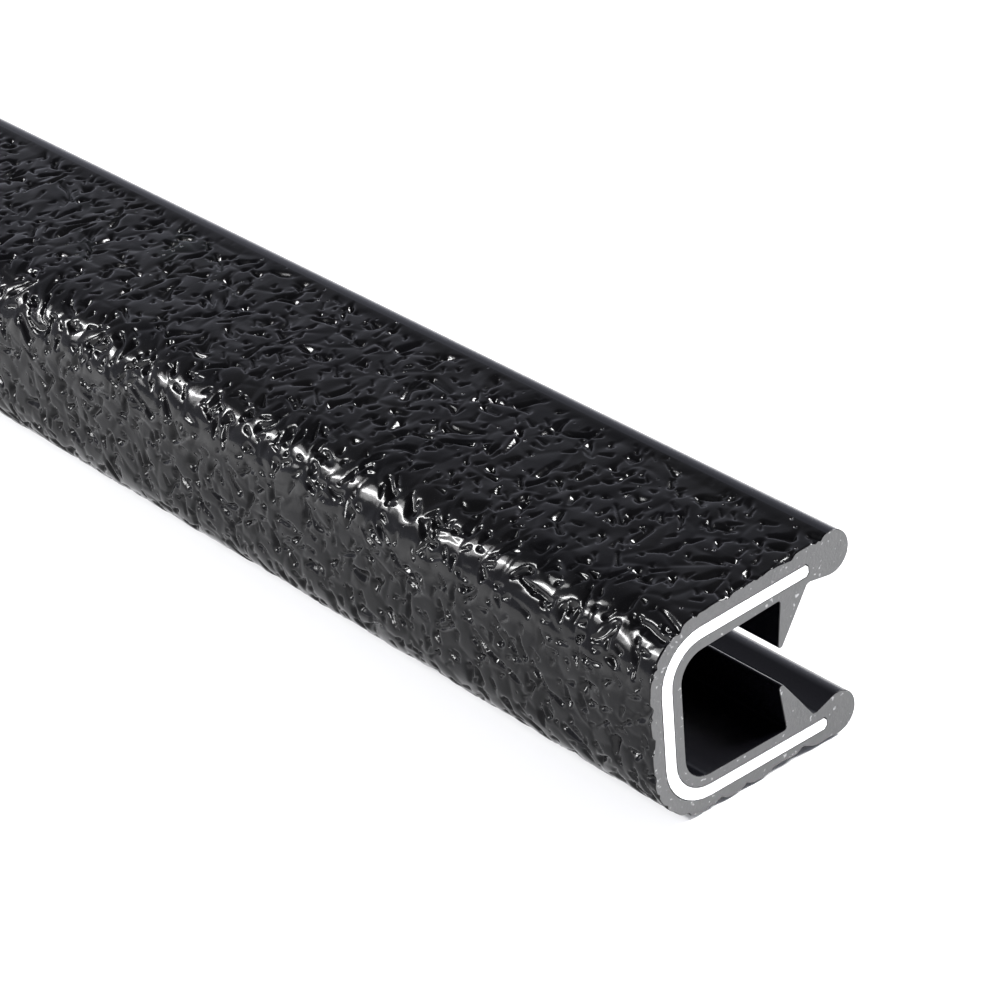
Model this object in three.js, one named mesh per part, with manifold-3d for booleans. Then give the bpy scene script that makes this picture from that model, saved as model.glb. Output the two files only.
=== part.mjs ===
// Pebbled edge trim seal: a straight length of C-shaped trim that pushes onto the bare edge of a panel.
// It is two pieces: a soft vinyl cover, extruded round a bent aluminium core that keeps it clamped on.
// Each leg of the C ends in a round bead. Behind it a fin points into the mouth and grips the panel.
//
// The section is drawn in X and Y: X runs from the outside of the web towards the mouth, and Y is up from
// the middle of the web. It is then extruded along Z, and laid down so that the length runs along Y and
// the lower leg lies flat. Everything is in millimetres.

import * as THREE from "three";
import { mergeVertices } from "three/addons/utils/BufferGeometryUtils.js";
import Module from "manifold-3d";

const wasm = await Module();
wasm.setup();

// The stock
const LENGTH = 304.8; // one foot, cut from the reel
const LEG_LENGTH = 12.7; // outside of the web to the tip of a bead
const WEB_WIDTH = 10.75; // over both legs, where they leave the web

// The legs aren't quite alike. lean is how far one leans out from square to the web, and coreLean is the
// same for the core inside it. beadInset is how far its bead stays in from its outer face, and coreReach
// is from the outside of the web to the core's edge.
const UPPER_LEG = {
  lean: THREE.MathUtils.degToRad(3.5),
  coreLean: THREE.MathUtils.degToRad(2),
  beadInset: 0,
  coreReach: 10.05,
};
const LOWER_LEG = { lean: 0, coreLean: 0, beadInset: 0.15, coreReach: 10.8 };

// The vinyl cover
const WALL = 2.02;
const OUTER_BEND = 3.4; // radius round the back corners, which the inner corners share a centre with
const FACE_END = 10.2; // the leg's outer face is flat up to here, and then runs into the bead
const BEAD_RADIUS = 1.15;
const BEAD_START = THREE.MathUtils.degToRad(90); // on the side of the outer face
const BEAD_END = THREE.MathUtils.degToRad(-101); // on the side that faces the mouth
const FIN_ROOT_START = 8.25; // where the fin leaves the leg's inner face, from the outside of the web
const FIN_ROOT_END = 9.95;
const FIN_HEIGHT = 2.5; // out from the leg's inner face
const FIN_LEAN = 0.36; // how far the tip leans back towards the web
const FIN_TIP_RADIUS = 0.17;
const FIN_TIP_START = THREE.MathUtils.degToRad(-27);
const FIN_TIP_END = THREE.MathUtils.degToRad(-171);
const ROOT_CHAMFER = 0.12; // across the corners at the fin's root

// The aluminium core
const CORE_THICKNESS = 0.6;
const CORE_DEPTH = 0.83; // vinyl over its outer side
const CORE_CLEARANCE = 0.05; // between the core and the pocket in the vinyl
const CORE_CHAMFER = 0.15; // off both corners of the strip's sheared edges
const SEGMENT_PITCH = 6.35; // slots part the core into segments
const SLOT_WIDTH = 1.2;
const SPINE_WIDTH = 2.4; // what joins the segments, along the middle of the web

// Divisions of each arc, of which three.js makes two straight steps apiece
const BEND_DIVISIONS = 4;
const BEAD_DIVISIONS = 8;
const FIN_TIP_DIVISIONS = 2;
const MERGE_DISTANCE = 1e-4; // vertices nearer than this are one

const halfWidth = WEB_WIDTH / 2;
const bendCentre = new THREE.Vector2(OUTER_BEND, halfWidth - OUTER_BEND);

function leanOut(points, lean) {
  return points.map((point) => point.rotateAround(bendCentre, lean));
}

// Both legs are drawn as the upper one, and the lower one is then mirrored.
function sectionOutline(drawLeg) {
  const lower = drawLeg(LOWER_LEG).map((point) => new THREE.Vector2(point.x, -point.y));
  return [...drawLeg(UPPER_LEG), ...lower.reverse()];
}

function arcPoints(centreX, centreY, radius, start, end, divisions) {
  return new THREE.Path()
    .absarc(centreX, centreY, radius, start, end, start > end)
    .getPoints(divisions);
}

// A bend from the web to a leg. It starts short of square, by as much as the leg is leant out.
function bendPoints(radius, lean) {
  const start = Math.PI - lean;
  return arcPoints(bendCentre.x, bendCentre.y, radius, start, Math.PI / 2, BEND_DIVISIONS);
}

// The fin, from its root beside the bead to its root beside the channel, with a round tip.
function finPoints() {
  const face = halfWidth - WALL;
  const tipX = FIN_ROOT_START - FIN_LEAN + FIN_TIP_RADIUS;
  const tipY = face - FIN_HEIGHT + FIN_TIP_RADIUS;
  return [
    new THREE.Vector2(FIN_ROOT_END + 2 * ROOT_CHAMFER, face),
    new THREE.Vector2(FIN_ROOT_END, face - ROOT_CHAMFER / 2),
    ...arcPoints(tipX, tipY, FIN_TIP_RADIUS, FIN_TIP_START, FIN_TIP_END, FIN_TIP_DIVISIONS),
    new THREE.Vector2(FIN_ROOT_START, face - ROOT_CHAMFER),
    new THREE.Vector2(FIN_ROOT_START - ROOT_CHAMFER, face),
  ];
}

// The cover's outline: web, bend, bead, fin, and back along the inside.
function coverOutline() {
  return sectionOutline(({ lean, beadInset }) => {
    const beadX = LEG_LENGTH - BEAD_RADIUS;
    const beadY = halfWidth - beadInset - BEAD_RADIUS;
    const leg = [
      ...bendPoints(OUTER_BEND, lean),
      new THREE.Vector2(FACE_END, halfWidth),
      ...arcPoints(beadX, beadY, BEAD_RADIUS, BEAD_START, BEAD_END, BEAD_DIVISIONS),
      ...finPoints(),
      ...bendPoints(OUTER_BEND - WALL, lean).reverse(),
    ];
    return leanOut(leg, lean);
  });
}

// The core's outline, or with a clearance, that of the pocket that it lies in.
function coreOutline(clearance) {
  const outer = OUTER_BEND - CORE_DEPTH + clearance;
  const inner = OUTER_BEND - CORE_DEPTH - CORE_THICKNESS - clearance;
  return sectionOutline(({ coreLean, coreReach }) => {
    const edge = coreReach + clearance;
    const leg = [
      ...bendPoints(outer, coreLean),
      new THREE.Vector2(edge - CORE_CHAMFER, bendCentre.y + outer),
      new THREE.Vector2(edge, bendCentre.y + outer - CORE_CHAMFER),
      new THREE.Vector2(edge, bendCentre.y + inner + CORE_CHAMFER),
      new THREE.Vector2(edge - CORE_CHAMFER, bendCentre.y + inner),
      ...bendPoints(inner, coreLean).reverse(),
    ];
    return leanOut(leg, coreLean);
  });
}

// Extrudes a shape along Z.
function extrude(shape) {
  return new THREE.ExtrudeGeometry(shape, { depth: LENGTH, bevelEnabled: false });
}

// A closed solid from a geometry, with its vertices joined.
function solidFrom(geometry) {
  geometry.deleteAttribute("normal");
  geometry.deleteAttribute("uv");
  const merged = mergeVertices(geometry, MERGE_DISTANCE);
  return new wasm.Manifold(
    new wasm.Mesh({
      numProp: 3,
      vertProperties: merged.attributes.position.array,
      triVerts: new Uint32Array(merged.index.array),
    }),
  );
}

function geometryFrom(solid) {
  const { vertProperties, triVerts } = solid.getMesh();
  const geometry = new THREE.BufferGeometry();
  geometry.setAttribute("position", new THREE.BufferAttribute(vertProperties, 3));
  geometry.setIndex(new THREE.BufferAttribute(triVerts, 1));
  geometry.computeVertexNormals();
  return geometry;
}

// The two boxes that cut one slot, on either side of the spine.
function slotCutters(z) {
  const height = WEB_WIDTH; // well past the core's legs
  return [1, -1].map((side) => {
    const box = new THREE.BoxGeometry(LEG_LENGTH, height, SLOT_WIDTH);
    box.translate(LEG_LENGTH / 2, side * (SPINE_WIDTH / 2 + height / 2), z);
    return solidFrom(box);
  });
}

function makeCover() {
  const section = new THREE.Shape(coverOutline());
  const pocket = coreOutline(CORE_CLEARANCE).reverse(); // a hole runs the other way round
  section.holes.push(new THREE.Path(pocket));
  const vinyl = new THREE.MeshStandardMaterial({ color: 0x17171a, roughness: 0.35, metalness: 0 });
  const cover = new THREE.Mesh(extrude(section), vinyl);
  cover.name = "vinyl_cover";
  return cover;
}

// A bent strip, slotted from both edges to its spine. The first slot is half a pitch in from the cut end.
function makeCore() {
  let strip = solidFrom(extrude(new THREE.Shape(coreOutline(0))));
  for (let z = SEGMENT_PITCH / 2; z < LENGTH; z += SEGMENT_PITCH) {
    for (const cutter of slotCutters(z)) {
      strip = strip.subtract(cutter);
    }
  }
  const metal = new THREE.MeshStandardMaterial({ color: 0xe4e5e6, roughness: 0.3, metalness: 1 });
  const core = new THREE.Mesh(geometryFrom(strip), metal);
  core.name = "aluminium_core";
  return core;
}

// Lays the length down along Y with the lower leg flat, and puts the origin under the middle.
const trim = new THREE.Group();
trim.add(makeCover(), makeCore());
trim.rotation.x = Math.PI / 2;
const bounds = new THREE.Box3().setFromObject(trim, true);
const middle = bounds.getCenter(new THREE.Vector3());
trim.position.set(-middle.x, -middle.y, -bounds.min.z);

const part = new THREE.Group();
part.add(trim);

export default part;
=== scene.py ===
# %% [markdown]
# # A pebbled edge trim seal in Blender
#
# Edge trim seal is a length of black vinyl with a C-shaped section, which is pushed onto the bare edge of a
# sheet metal panel. The vinyl is extruded round a bent aluminium strip that keeps it clamped on. Its outside
# is embossed with a leather grain, and its beads and fins are left smooth.
#
# The solids of the part are already made and packed, and they are loaded here as a fixed frame. This lesson
# dresses them: it builds the embossed skin as real relief, gives every surface a procedural finish, and sets
# up a plain pale studio. Everything in Blender is in metres, and the section is drawn in millimetres.

# %% Load the solids
import math

import bpy
import numpy as np
from mathutils import Matrix, Vector
from mathutils.geometry import tessellate_polygon


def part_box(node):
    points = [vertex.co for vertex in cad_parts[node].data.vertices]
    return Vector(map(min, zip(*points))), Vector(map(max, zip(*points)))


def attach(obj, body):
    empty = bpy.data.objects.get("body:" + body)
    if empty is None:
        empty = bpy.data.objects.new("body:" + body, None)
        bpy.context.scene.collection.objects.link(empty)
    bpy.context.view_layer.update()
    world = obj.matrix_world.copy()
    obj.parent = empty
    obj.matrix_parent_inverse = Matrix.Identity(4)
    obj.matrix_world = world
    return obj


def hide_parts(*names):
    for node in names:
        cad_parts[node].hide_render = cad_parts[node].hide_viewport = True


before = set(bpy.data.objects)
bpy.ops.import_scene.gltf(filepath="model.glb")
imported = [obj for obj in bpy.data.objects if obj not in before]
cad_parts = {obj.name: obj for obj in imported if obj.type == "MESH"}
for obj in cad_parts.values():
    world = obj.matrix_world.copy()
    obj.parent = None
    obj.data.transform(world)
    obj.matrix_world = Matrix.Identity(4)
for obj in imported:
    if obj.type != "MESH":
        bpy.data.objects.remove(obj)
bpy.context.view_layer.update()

# %% [markdown]
# ## The section
#
# A section like this can be traced, drawn with curves, or worked out from a few sizes. Working it out is the
# best way here, because the solids are made from the same sizes and the skin has to lie exactly on them.
# One function draws a leg as if it stood square to the web, and leans it out about its bend. The lower leg
# is the same drawing, mirrored. X runs from the outside of the web to the beads, and Y up from mid-web.

# %% Sizes of the section, in millimetres
LENGTH = 304.8
LEG_LENGTH = 12.7
HALF_WIDTH = 10.75 / 2
WALL = 2.02
BEND_RADIUS = 3.4
FACE_END = 10.2
BEAD_RADIUS = 1.15
BEAD_START = LEG_LENGTH - BEAD_RADIUS
GRAIN_END = 11.4
FIN_ROOT = (8.25, 9.95)
FIN_HEIGHT = 2.5
FIN_LEAN = 0.36
FIN_TIP_RADIUS = 0.17
ROOT_CHAMFER = 0.12
CORE_DEPTH = 0.83
CORE_THICKNESS = 0.6
CORE_CLEARANCE = 0.05
CORE_OUTER_DEPTH = CORE_DEPTH - CORE_CLEARANCE
CORE_INNER_DEPTH = CORE_DEPTH + CORE_THICKNESS + CORE_CLEARANCE
CORE_CHAMFER = 0.15
UPPER_LEG = {"lean": 3.5, "core_lean": 2.0, "bead_inset": 0.0, "pocket_end": 10.1}
LOWER_LEG = {"lean": 0.0, "core_lean": 0.0, "bead_inset": 0.15, "pocket_end": 10.85}
bend_centre = np.array([BEND_RADIUS, HALF_WIDTH - BEND_RADIUS])


# %% Arcs, leaning and mirroring
def arc(centre, radius, start, end, steps):
    """Points round a centre, from one angle to another, in degrees."""
    angles = np.radians(np.linspace(start, end, steps + 1))
    return np.array(centre) + radius * np.column_stack([np.cos(angles), np.sin(angles)])


def lean_out(points, degrees):
    turn = math.radians(degrees)
    rotation = np.array([[math.cos(turn), math.sin(turn)], [-math.sin(turn), math.cos(turn)]])
    return (np.asarray(points) - bend_centre) @ rotation + bend_centre


def both_legs(draw_leg):
    """The path from the upper leg, round the web, to the lower leg."""
    lower = draw_leg(LOWER_LEG) * [1, -1]
    return np.vstack([draw_leg(UPPER_LEG), lower[::-1]])


# %% The outline in three runs: outer skin, smooth inside and the core's pocket
def grain_edge(leg):
    """The point on the outer face where the grain stops, short of the bead."""
    drop = leg["bead_inset"] * (GRAIN_END - FACE_END) / (BEAD_START - FACE_END)
    return [GRAIN_END, HALF_WIDTH - drop]


def skin_leg(leg):
    face = [grain_edge(leg), [FACE_END, HALF_WIDTH]]
    bend = arc(bend_centre, BEND_RADIUS, 90, 180 - leg["lean"], 24)
    return lean_out(np.vstack([face, bend]), leg["lean"])


def inside_leg(leg):
    inner = HALF_WIDTH - WALL
    bead_centre = (BEAD_START, HALF_WIDTH - leg["bead_inset"] - BEAD_RADIUS)
    tip_centre = (FIN_ROOT[0] - FIN_LEAN + FIN_TIP_RADIUS, inner - FIN_HEIGHT + FIN_TIP_RADIUS)
    near_web, near_bead = FIN_ROOT
    bead_corner = [
        [near_bead + 2 * ROOT_CHAMFER, inner],
        [near_bead + 0.08, inner - 0.01],
        [near_bead, inner - ROOT_CHAMFER / 2],
    ]
    web_corner = [
        [near_web, inner - ROOT_CHAMFER],
        [near_web - 0.05, inner - 0.03],
        [near_web - ROOT_CHAMFER, inner],
    ]
    run = [
        [grain_edge(leg)],
        arc(bead_centre, BEAD_RADIUS, 90, -101, 26),
        bead_corner,
        arc(tip_centre, FIN_TIP_RADIUS, -27, -171, 8),
        web_corner,
        arc(bend_centre, BEND_RADIUS - WALL, 90, 180 - leg["lean"], 12),
    ]
    return lean_out(np.vstack(run), leg["lean"])


def pocket_leg(leg):
    outer, inner = HALF_WIDTH - CORE_OUTER_DEPTH, HALF_WIDTH - CORE_INNER_DEPTH
    end, chamfer = leg["pocket_end"], CORE_CHAMFER
    run = [
        arc(bend_centre, BEND_RADIUS - CORE_OUTER_DEPTH, 180 - leg["core_lean"], 90, 8),
        [[end - chamfer, outer], [end, outer - chamfer], [end, inner + chamfer], [end - chamfer, inner]],
        arc(bend_centre, BEND_RADIUS - CORE_INNER_DEPTH, 90, 180 - leg["core_lean"], 8),
    ]
    return lean_out(np.vstack(run), leg["core_lean"])


skin_line = both_legs(skin_leg)
inside_line = both_legs(inside_leg)[::-1]
pocket_line = both_legs(pocket_leg)
print("points in the section:", len(skin_line), len(inside_line), len(pocket_line))


# %% From the section to the frame
section_x = np.concatenate([skin_line[:, 0], inside_line[:, 0]])
MIDDLE = (section_x.min() + section_x.max()) / 2


def to_frame(section, along):
    """Section points at one place along the length, in metres, where the solids are."""
    y = np.full(len(section), along)
    return np.column_stack([section[:, 0] - MIDDLE, y, section[:, 1] + HALF_WIDTH]) / 1000


solid_low, solid_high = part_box("vinyl_cover")
drawn = to_frame(inside_line, 0)
past_solid = (drawn[:, 0].max() - solid_high.x) * 1000
print("reach of the drawn section past the solid, in mm:", round(past_solid, 4))

# %% [markdown]
# ## The embossed grain
#
# The grain is pressed in by a roller while the vinyl is hot. It is a smooth ground that swells a little,
# broken by short grooves and smaller nicks that lie every way. A bump map would leave the cut end and the
# outline straight, and they show the grain best, so it is real relief here. It could be sculpted, or come
# from a displaced texture. Here it is a function of a place on the unrolled skin, because the flat cut ends
# ask for the very same grain as the skin that they close.
#
# Each cell of a sheet of random numbers holds one groove, with its own turn, length and depth. A Voronoi
# pattern adds soft creases: a point that is about as far from its two nearest seeds is in one. They are faint
# on top and deep underneath, where the leg looks scalloped. Warping the patterns keeps them from looking
# ruled. All of it goes in from the solid, and none of it stands out.

# %% Patterns on a sheet, in millimetres
random = np.random.default_rng(20)
SHEET_WIDTH = 60  # more than the skin needs
SHEET_LENGTH = LENGTH + 20
SPARE_LOW, SPARE_HIGH = 3, 5  # cells round the skin, so that a cell's neighbours are in the table too


class Sheet:
    """A table of random numbers laid over the unrolled skin, with one cell every so many millimetres."""

    def __init__(self, across, along):
        self.size = np.array([across, along])
        spare = SPARE_LOW + SPARE_HIGH
        rows, columns = int(SHEET_WIDTH / across) + spare, int(SHEET_LENGTH / along) + spare
        self.table = random.random((rows, columns, 4))

    def cell(self, position):
        """The cell that each point is in, and where in the cell it is."""
        scaled = position / self.size + SPARE_LOW
        whole = np.floor(scaled).astype(int)
        return whole, scaled - whole

    def noise(self, position, channel=0):
        """Random heights from -1 to 1, joined smoothly."""
        whole, part = self.cell(position)
        part = part * part * (3 - 2 * part)
        total = 0
        for i in (0, 1):
            for j in (0, 1):
                weight = np.abs(1 - i - part[..., 0]) * np.abs(1 - j - part[..., 1])
                total = total + weight * self.table[whole[..., 0] + i, whole[..., 1] + j, channel]
        return total * 2 - 1

    def pebbles(self, position):
        """How far each point is into its pebble, from 0 in the crease round it."""
        whole, part = self.cell(position)
        nearest = np.full(part.shape[:-1], 9.0)
        second = nearest.copy()
        for i in (-2, -1, 0, 1, 2):
            for j in (-2, -1, 0, 1, 2):
                seed = self.table[whole[..., 0] + i, whole[..., 1] + j, :2]
                offset = (seed + [i, j] - part) * self.size
                distance = np.hypot(offset[..., 0], offset[..., 1])
                second = np.minimum(second, np.maximum(nearest, distance))
                nearest = np.minimum(nearest, distance)
        return second - nearest

    def dashes(self, position, half_length, half_width):
        """Short grooves, one to a cell: 1 in the deepest spot, and shallower and narrower towards one end."""
        whole, part = self.cell(position)
        deepest = np.zeros(part.shape[:-1])
        for i in (-1, 0, 1):
            for j in (-1, 0, 1):
                seed = self.table[whole[..., 0] + i, whole[..., 1] + j]
                offset = (part - seed[..., :2] - [i, j]) * self.size
                turn = 2 * np.pi * seed[..., 2]
                along = offset[..., 0] * np.cos(turn) + offset[..., 1] * np.sin(turn)
                beside = offset[..., 1] * np.cos(turn) - offset[..., 0] * np.sin(turn)
                reach = half_length * (0.3 + 0.7 * seed[..., 3])
                nearest = np.clip(along, -reach, reach)
                taper = (0.75 + 0.25 * nearest / reach) * (0.7 + 0.3 * seed[..., 0])
                width = half_width * taper
                depth = taper * np.exp(-((along - nearest) ** 2 + beside**2) / width**2)
                deepest = np.maximum(deepest, depth)
        return deepest


# %% The depth of the grain
warp_sheet = Sheet(2.4, 2.1)
pebble_sheet = Sheet(1.65, 1.5)
groove_sheet = Sheet(1.55, 1.45)
nick_sheet = Sheet(1.05, 1.0)
swell_sheet = Sheet(1.15, 1.05)
CREASE_DEPTH = 0.07
UNDERSIDE_CREASE_DEPTH = 0.42
UNDERSIDE = (21, 23.5)  # where the creases deepen, across the skin from the upper bead
CREASE_WIDTH = 0.4
CREASE_ROUNDING = 0.15
GROOVE_DEPTH = 0.28
NICK_DEPTH = 0.16
SWELL = 0.055
WARP = 0.6
RUFFLE = 0.22  # a finer warp, for the grooves
NICK_RUFFLE = 0.12


def smooth_step(value, low, high):
    part = np.clip((value - low) / (high - low), 0, 1)
    return part * part * (3 - 2 * part)


def grain_depth(across, along):
    """How far the skin is pressed in, in millimetres, at a distance across the skin and one along it."""
    position = np.stack(np.broadcast_arrays(across, along + LENGTH / 2), axis=-1)
    warp = np.stack([warp_sheet.noise(position, 0), warp_sheet.noise(position, 1)], axis=-1)
    ruffle = np.stack([swell_sheet.noise(position, 1), swell_sheet.noise(position, 2)], axis=-1)
    edge = pebble_sheet.pebbles(position + WARP * warp)
    underside = smooth_step(across, *UNDERSIDE)
    crease_depth = CREASE_DEPTH + (UNDERSIDE_CREASE_DEPTH - CREASE_DEPTH) * underside
    creases = crease_depth * np.exp(-np.hypot(edge, CREASE_ROUNDING) / CREASE_WIDTH)
    groove_place = position + WARP * warp + RUFFLE * ruffle
    grooves = groove_sheet.dashes(groove_place, half_length=0.6, half_width=0.23)
    nicks = nick_sheet.dashes(position + NICK_RUFFLE * ruffle, half_length=0.32, half_width=0.13)
    swell = 1 + 0.5 * warp_sheet.noise(position, 2) + 0.5 * swell_sheet.noise(position)
    pressed = np.maximum(GROOVE_DEPTH * grooves, NICK_DEPTH * nicks)
    return pressed + creases + SWELL * swell


sample = grain_depth(np.linspace(0, 28, 300)[:, None], np.linspace(-20, 20, 300)[None, :])
print("grain depth in mm: mean", round(float(sample.mean()), 3), "most", round(float(sample.max()), 3))

# %% [markdown]
# ## The skin
#
# The skin is a grid: the section's outer run, repeated along the length. Every point moves in along its
# own normal by the depth of the grain there. The grain fades out where the leg runs into the smooth bead.
# A grid fine enough for a close view of the whole foot would be too heavy, so it is fine for as far as the
# camera sees, and coarser from there on. Coarse faces would shade too smoothly, so there the normals come
# from the grain itself. The grid is also cut into stretches, so that no mesh is very large. Neighbouring
# stretches share a ring, so there is no gap between them.

# %% Even points across the skin
SKIN_STEP = 0.085
FADE = 0.7  # the grain comes to its full depth this far from the smooth bead


def into_vinyl(line):
    """At each point of a line, the direction that leads into the vinyl."""
    ahead = np.gradient(line, axis=0)
    ahead /= np.linalg.norm(ahead, axis=1, keepdims=True)
    return np.column_stack([-ahead[:, 1], ahead[:, 0]])


corner_across = np.concatenate([[0], np.cumsum(np.hypot(*np.diff(skin_line, axis=0).T))])
SKIN_WIDTH = corner_across[-1]
PAIRS = int(SKIN_WIDTH / SKIN_STEP / 2)  # the coarser grid takes every other point
skin_across = np.linspace(0, SKIN_WIDTH, 2 * PAIRS + 1)
skin_points = np.column_stack([np.interp(skin_across, corner_across, skin_line[:, k]) for k in (0, 1)])
skin_inward = into_vinyl(skin_points)
fade = smooth_step(np.minimum(skin_across, SKIN_WIDTH - skin_across), 0, FADE)
print("across the skin:", len(skin_points), "points over", round(SKIN_WIDTH, 2), "mm")


# %% Rings along the length
NEAR_END = -LENGTH / 2
FAR_END = LENGTH / 2
CLOSE_END = NEAR_END + 74  # the camera sees no further than this
CLOSE_STEP = 0.085
FAR_STEP = 0.27
EDGE = 0.03  # the cut takes this much off the sharp edge


def even_stations(start, end, step):
    return np.linspace(start, end, round((end - start) / step) + 1)


close_rings = [NEAR_END, *even_stations(NEAR_END + EDGE, CLOSE_END, CLOSE_STEP)]
far_rings = [*even_stations(CLOSE_END, FAR_END - EDGE, FAR_STEP), FAR_END]
print("rings:", len(close_rings), "and", len(far_rings))


def skin_ring(along, every):
    """Every so many points of one ring. The very ends are drawn in a little, as a knife leaves them."""
    depth = grain_depth(skin_across, np.full(len(skin_across), along)) * fade
    if along in (NEAR_END, FAR_END):
        depth = depth + EDGE
    return to_frame(skin_points + skin_inward * depth[:, None], along)[::every]


def grain_normals(along, every):
    """The way out of the vinyl at every so many points of one ring."""
    ahead = skin_ring(along + CLOSE_STEP, 1) - skin_ring(along - CLOSE_STEP, 1)
    aside = np.gradient(skin_ring(along, 1), axis=0)
    normals = np.cross(ahead, aside)
    return (normals / np.linalg.norm(normals, axis=1, keepdims=True))[::every]


# %% Grids into meshes
MOST_TRIANGLES = 180_000  # in a piece


def add_piece(name, points, faces):
    mesh = bpy.data.meshes.new(name)
    mesh.from_pydata(np.asarray(points).tolist(), [], np.asarray(faces).tolist())
    mesh.shade_smooth()
    piece = bpy.data.objects.new(name, mesh)
    bpy.context.scene.collection.objects.link(piece)
    print(name, "triangles:", sum(len(face.vertices) - 2 for face in mesh.polygons))
    return piece


def grid_faces(rows, columns, closed=False):
    """Four-sided faces between neighbouring rings, which all face out of the vinyl."""
    index = np.arange(rows * columns).reshape(rows, columns)
    if closed:
        index = np.column_stack([index, index[:, 0]])
    corners = [index[:-1, :-1], index[1:, :-1], index[1:, 1:], index[:-1, 1:]]
    return np.stack(corners, axis=-1).reshape(-1, 4)


# %% The skin in stretches
def add_skin(name, stations, every):
    points = np.array([skin_ring(along, every) for along in stations])
    rows, columns = points.shape[:2]
    if stations[-1] == CLOSE_END:  # the fine ring lies on the coarse one that it meets
        points[-1, 1::2] = (points[-1, :-1:2] + points[-1, 2::2]) / 2
    piece = add_piece(name, points.reshape(-1, 3), grid_faces(rows, columns))
    if every > 1:
        normals = np.array([grain_normals(along, every) for along in stations])
        piece.data.normals_split_custom_set_from_vertices(normals.reshape(-1, 3).tolist())
    return piece


skin = []
for stations, every in ((close_rings, 1), (far_rings, 2)):
    most_rings = MOST_TRIANGLES // (2 * len(skin_across) // every)
    for start in range(0, len(stations) - 1, most_rings):
        stretch = stations[start : start + most_rings + 1]
        skin.append(add_skin(f"vinyl_skin_{len(skin) + 1}", stretch, every))

# %% [markdown]
# ## The smooth inside and the cut ends
#
# The beads, the fins and the channel are straight from end to end, so four rings are enough for them. The
# two rings at each end are the cut's narrow bevel. Its edge is marked sharp, or smooth shading would spread
# its tilt along the whole length. The cut ends are flat, but their outline isn't: it follows the grain on
# the outside, with a hole where the core comes through. It could be triangulated by hand, but Blender's
# polygon tessellation fills such a shape in one call.

# %% Beads, fins, channel and pocket
inside_inward = into_vinyl(inside_line)


def inside_ring(along):
    drawn_in = EDGE if along in (NEAR_END, FAR_END) else 0
    return to_frame(inside_line + inside_inward * drawn_in, along)


inside_stations = [NEAR_END, NEAR_END + EDGE, FAR_END - EDGE, FAR_END]
inside_points = np.vstack([inside_ring(along) for along in inside_stations])
vinyl_inside = add_piece("vinyl_inside", inside_points, grid_faces(4, len(inside_line)))
vinyl_inside.data.set_sharp_from_angle(angle=math.radians(30))
pocket_points = np.vstack([to_frame(pocket_line, along) for along in (NEAR_END, FAR_END)])
pocket = add_piece("core_pocket", pocket_points, grid_faces(2, len(pocket_line), closed=True))


# %% The cut ends
def cut_end(along, every):
    """A flat face with the grain in its outline and the pocket as a hole."""
    outline = np.vstack([skin_ring(along, every), inside_ring(along)[1:-1]])
    hole = to_frame(pocket_line, along)
    loops = [[Vector(point) for point in loop] for loop in (outline, hole)]
    return np.vstack([outline, hole]), np.array(tessellate_polygon(loops))


near_points, near_faces = cut_end(NEAR_END, 1)
far_points, far_faces = cut_end(FAR_END, 2)
cut_ends = add_piece(
    "vinyl_cut_ends",
    np.vstack([near_points, far_points]),
    np.vstack([near_faces, far_faces + len(near_points)]),
)
cut_ends.data.shade_flat()

# %% [markdown]
# ## Sums in a shader
#
# A finish often needs sums, such as a mask times a depth. Wiring Math nodes by hand hides the sum, so one
# small class stands for a socket, and a Python expression on it adds the nodes. The other nodes all come
# from one method, which takes the node's kind, its settings and its inputs.


# %% A socket that can be added and multiplied
class Wire:
    def __init__(self, finish, socket):
        self.finish, self.socket = finish, socket

    def sum(self, operation, *values):
        return self.finish.node("Math", {"operation": operation}, dict(enumerate(values)))

    def __add__(self, other):
        return self.sum("ADD", self, other)

    def __sub__(self, other):
        return self.sum("SUBTRACT", self, other)

    def __rsub__(self, other):
        return self.sum("SUBTRACT", other, self)

    def __mul__(self, other):
        return self.sum("MULTIPLY", self, other)

    __radd__ = __add__
    __rmul__ = __mul__


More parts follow.
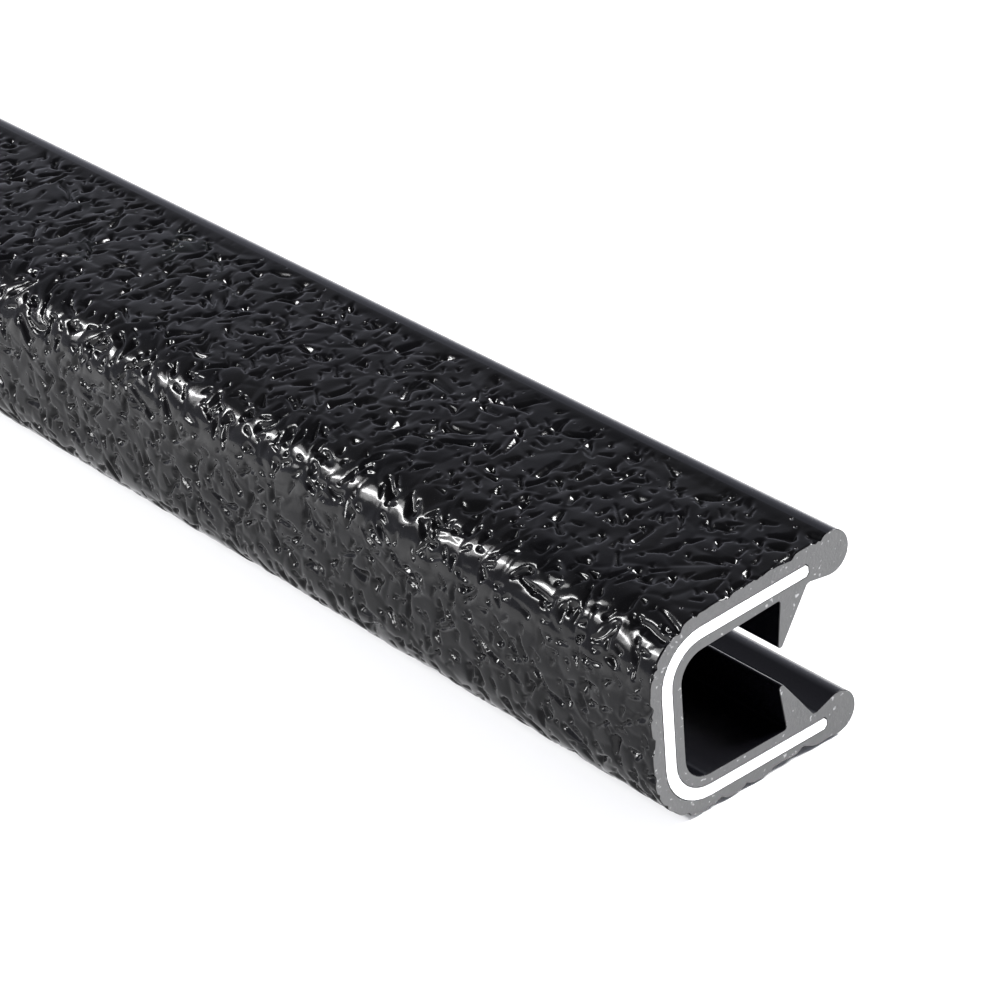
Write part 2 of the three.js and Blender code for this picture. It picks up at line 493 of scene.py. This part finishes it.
# %% A finish is a material that grows node by node
class Finish:
    def __init__(self, name, constants):
        self.material = bpy.data.materials.new(name)
        self.material.use_nodes = True
        self.tree = self.material.node_tree
        self.shader = self.tree.nodes["Principled BSDF"]
        for socket, value in constants.items():
            self.shader.inputs[socket].default_value = value

    def node(self, kind, settings=None, inputs=None, output=0):
        node = self.tree.nodes.new("ShaderNode" + kind)
        for name, value in (settings or {}).items():
            setattr(node, name, value)
        for name, value in (inputs or {}).items():
            self.join(value, node.inputs[name])
        return Wire(self, node.outputs[output])

    def join(self, value, socket):
        if isinstance(value, Wire):
            self.tree.links.new(value.socket, socket)
        else:
            socket.default_value = value

    def feed(self, **sockets):
        """Joins wires to the shader's own sockets, with _ in a name for a space."""
        for name, value in sockets.items():
            self.join(value, self.shader.inputs[name.replace("_", " ")])

    def place(self, stretch=(1, 1, 1)):
        """The position on the part in millimetres, or squeezed in some directions."""
        position = self.node("TexCoord", output="Object")
        scale = tuple(1000 * factor for factor in stretch)
        return self.node("VectorMath", {"operation": "MULTIPLY"}, {0: position, 1: scale})

    def noise(self, place, per_mm, detail=2.0, output="Fac"):
        """Cloudy noise from 0 to 1, with so many lumps in a millimetre."""
        sockets = {"Vector": place, "Scale": per_mm, "Detail": detail}
        return self.node("TexNoise", {}, sockets, output)

    def step(self, value, low, high):
        """0 below low and 1 above high, with a smooth step between."""
        sockets = {"Value": value, "From Min": low, "From Max": high}
        return self.node("MapRange", {"interpolation_type": "SMOOTHSTEP"}, sockets)

    def colour_mix(self, factor, *colours):
        """A colour between two others, each of them a wire or three numbers."""
        first, second = [value if isinstance(value, Wire) else (*value, 1) for value in colours]
        return self.node("Mix", {"data_type": "RGBA"}, {0: factor, 6: first, 7: second}, output=2)

    def bump(self, height_mm):
        """A normal from a height in millimetres."""
        return self.node("Bump", {}, {"Height": height_mm, "Distance": 0.001})


# %% [markdown]
# ## Glossy black vinyl
#
# The vinyl is so black that what shows is mostly its gloss. The relief gives the grooves. The finish adds
# what is too small for it: a faint ripple on the ground between them, and tiny round pits where air was
# caught under the roller. A pit could be a hole in the mesh, but at a tenth of a millimetre a bump is
# enough: each has a bit of wall that mirrors a lamp and sparkles. The gloss is uneven, so the roughness
# varies a little.


# %% Embossed vinyl
def embossed_vinyl():
    finish = Finish("embossed black vinyl", {"Specular IOR Level": 0.14})
    place = finish.place()
    tone = finish.noise(place, 0.35)
    finish.feed(Base_Color=finish.colour_mix(tone, (0.0013, 0.0013, 0.0018), (0.0028, 0.0027, 0.0027)))
    finish.feed(Roughness=0.11 + 0.08 * finish.noise(place, 1.1))
    cell = {"Vector": place, "Scale": 1.5}
    distance = finish.node("TexVoronoi", {}, cell, "Distance")
    chance = finish.node("TexVoronoi", {}, cell, "Color")
    pit = (1 - finish.step(distance, 0.0, 0.18)) * finish.step(chance, 0.4, 0.5)
    ripple = finish.noise(place, 2.6, detail=3)
    finish.feed(Normal=finish.bump(0.006 * ripple - 0.09 * pit))
    return finish.material


# %% [markdown]
# ## Smooth vinyl
#
# The beads, fins and channel never meet the roller. They keep the skin that they had when they left the die,
# which has faint lines along the length. The same noise serves for them, stretched along Y.


# %% Smooth vinyl, from the same compound
def smooth_vinyl():
    finish = Finish("smooth black vinyl", {"Specular IOR Level": 0.25})
    place = finish.place((1, 0.04, 1))
    tone = finish.noise(place, 2.0)
    finish.feed(Base_Color=finish.colour_mix(tone, (0.001, 0.001, 0.0016), (0.002, 0.002, 0.003)))
    finish.feed(Roughness=0.2 + 0.08 * finish.noise(place, 3.0))
    finish.feed(Normal=finish.bump(0.004 * finish.noise(place, 6.0)))
    return finish.material


# %% [markdown]
# ## Cut vinyl
#
# A saw or knife leaves the cut end matt, so it looks grey though the vinyl is black, with pale specks of
# filler in it. Raising the roughness alone would not turn it grey enough, so its colour is lighter too.


# %% Cut vinyl
def cut_vinyl():
    finish = Finish("cut vinyl", {"Specular IOR Level": 0.35})
    place = finish.place()
    cloud = finish.noise(place, 2.4, detail=4)
    speck = finish.step(finish.noise(place, 4.0, detail=1), 0.66, 0.8)
    shade = finish.colour_mix(cloud, (0.068, 0.068, 0.068), (0.1, 0.1, 0.1))
    finish.feed(Base_Color=finish.colour_mix(speck, shade, (0.3, 0.3, 0.3)))
    finish.feed(Roughness=0.55 + 0.2 * cloud)
    finish.feed(Normal=finish.bump(0.02 * finish.noise(place, 7.0, detail=3)))
    return finish.material


# %% [markdown]
# ## Aluminium
#
# The core's freshly cut edge is the brightest thing on the trim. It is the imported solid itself, and only its
# material changes: a real metal, with a fine tooth from the saw that keeps it from mirroring cleanly.


# %% Aluminium strip
def strip_aluminium():
    finish = Finish("aluminium strip", {"Metallic": 1.0})
    tooth = finish.noise(finish.place(), 5.0, detail=3)
    finish.feed(Base_Color=finish.colour_mix(tooth, (0.86, 0.865, 0.87), (0.96, 0.96, 0.965)))
    finish.feed(Roughness=0.3 + 0.15 * tooth)
    finish.feed(Normal=finish.bump(0.006 * tooth))
    return finish.material


# %% Give each piece its finish
embossed, smooth, cut, strip = embossed_vinyl(), smooth_vinyl(), cut_vinyl(), strip_aluminium()
for piece in skin:
    piece.data.materials.append(embossed)
vinyl_inside.data.materials.append(smooth)
pocket.data.materials.append(cut)
cut_ends.data.materials.append(cut)
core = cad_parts["aluminium_core"]
core.data.materials.clear()
core.data.materials.append(strip)
print("finishes:", [finish.name for finish in (embossed, smooth, cut, strip)])

# %% [markdown]
# ## Riding on the frame
#
# The part has no joints, so all its pieces ride on the one body. Together they stand for the solid cover.

# %% Join the pieces to the frame
for piece in (*skin, vinyl_inside, pocket, cut_ends):
    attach(piece, "root")
    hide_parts("vinyl_cover")

# %% [markdown]
# ## The studio
#
# Black gloss shows the studio more than itself, so the lights are placed by what each face mirrors. From
# where the camera stands, the web mirrors the pale floor beside it, the top leg a dim ceiling, and the bend
# between them a soft box.


# %% Floor
def matte_floor():
    finish = Finish("pale floor", {"Specular IOR Level": 0.2})
    cloud = finish.noise(finish.place(), 0.02)
    finish.feed(Base_Color=finish.colour_mix(cloud, (0.86, 0.86, 0.86), (0.88, 0.88, 0.88)))
    finish.feed(Roughness=0.7 + 0.1 * cloud)
    return finish.material


half = 6.0  # metres, so that its edges are out of sight
corners = [(-half, -half, 0), (half, -half, 0), (half, half, 0), (-half, half, 0)]
floor = add_piece("floor", corners, [(0, 1, 2, 3)])
floor.data.materials.append(matte_floor())


# %% [markdown]
# ## Four soft boxes
#
# The bend light gives the bend its grey sheen, and the key light, long and narrow in front of it, the white
# streaks. The other two stand where only the walls of grooves mirror them, on the web from the left and on
# the top leg from the right, and make the sparkle. The right light also lights the cut end and the floor. It
# stands low enough for the strip of floor that the web mirrors to lie in the trim's own shadow, or the web
# would turn grey.


# %% Soft boxes
LAMP_TARGET = Vector((0, -0.13, 0.006))  # on the trim, a little way in from the near end


def soft_box(name, towards, distance, size, power):
    """A lamp that looks at the near end from a direction, with its size across the trim and along it."""
    light = bpy.data.lights.new(name, "AREA")
    light.shape = "RECTANGLE"
    light.size, light.size_y = size
    light.energy = power
    lamp = bpy.data.objects.new(name, light)
    bpy.context.scene.collection.objects.link(lamp)
    back = Vector(towards).normalized()
    side = Vector((0, 1, 0)).cross(back).normalized()
    axes = Matrix((side, back.cross(side), back)).transposed().to_4x4()
    lamp.matrix_world = Matrix.Translation(LAMP_TARGET + back * distance) @ axes


BEND_MIRRORS = (-0.565, 0.626, 0.536)  # where the camera's ray goes on to from the middle of the bend
soft_box("key light", BEND_MIRRORS, 1.0, (0.07, 0.36), 10)
soft_box("bend light", BEND_MIRRORS, 1.15, (0.42, 0.32), 7)
soft_box("left light", (-0.985, 0.06, 0.16), 1.0, (0.18, 0.18), 9)
soft_box("right light", (0.78, -0.2, 0.58), 1.6, (0.5, 0.5), 88)


# %% [markdown]
# ## The room
#
# The room could be one grey, but then the top leg would mirror as much light as the outline of a groove. So
# it is bright near the floor and dim overhead. Blender's usual view turns bright tones grey, so the plain
# Standard view is set, and the pale floor comes out white.

# %% The room's own light
world = bpy.data.worlds.new("studio")
bpy.context.scene.world = world
world.use_nodes = True
nodes, links = world.node_tree.nodes, world.node_tree.links
direction = nodes.new("ShaderNodeTexCoord")
split = nodes.new("ShaderNodeSeparateXYZ")
fall = nodes.new("ShaderNodeMapRange")
fall.inputs["From Max"].default_value = 0.9
fall.inputs["To Min"].default_value = 1.2
fall.inputs["To Max"].default_value = 0.12
background = nodes["Background"]
background.inputs["Color"].default_value = (0.85, 0.87, 1, 1)
links.new(direction.outputs["Generated"], split.inputs["Vector"])
links.new(split.outputs["Z"], fall.inputs["Value"])
links.new(fall.outputs["Result"], background.inputs["Strength"])
bpy.context.scene.view_settings.view_transform = "Standard"

# %% [markdown]
# ## The camera
#
# A long lens from above the near end, as in the photograph: the trim hardly narrows with distance, and runs
# out of the picture on the left.

# %% Camera
STANDPOINT = (-0.08956, -0.249783, 0.093151)
LOOKS_ALONG = Vector((0.53111, 0.68091, -0.50426))
UPRIGHT = Vector((0.3762, 0.34376, 0.86041))  # points up in the picture
lens = bpy.data.cameras.new("camera")
lens.sensor_width = 36
lens.lens = 126
lens.clip_start = 0.01
camera = bpy.data.objects.new("camera", lens)
bpy.context.scene.collection.objects.link(camera)
forward = LOOKS_ALONG.normalized()
right = forward.cross(UPRIGHT).normalized()
axes = Matrix((right, right.cross(forward), -forward)).transposed().to_4x4()
camera.matrix_world = Matrix.Translation(STANDPOINT) @ axes
bpy.context.scene.camera = camera
print("camera at", STANDPOINT)
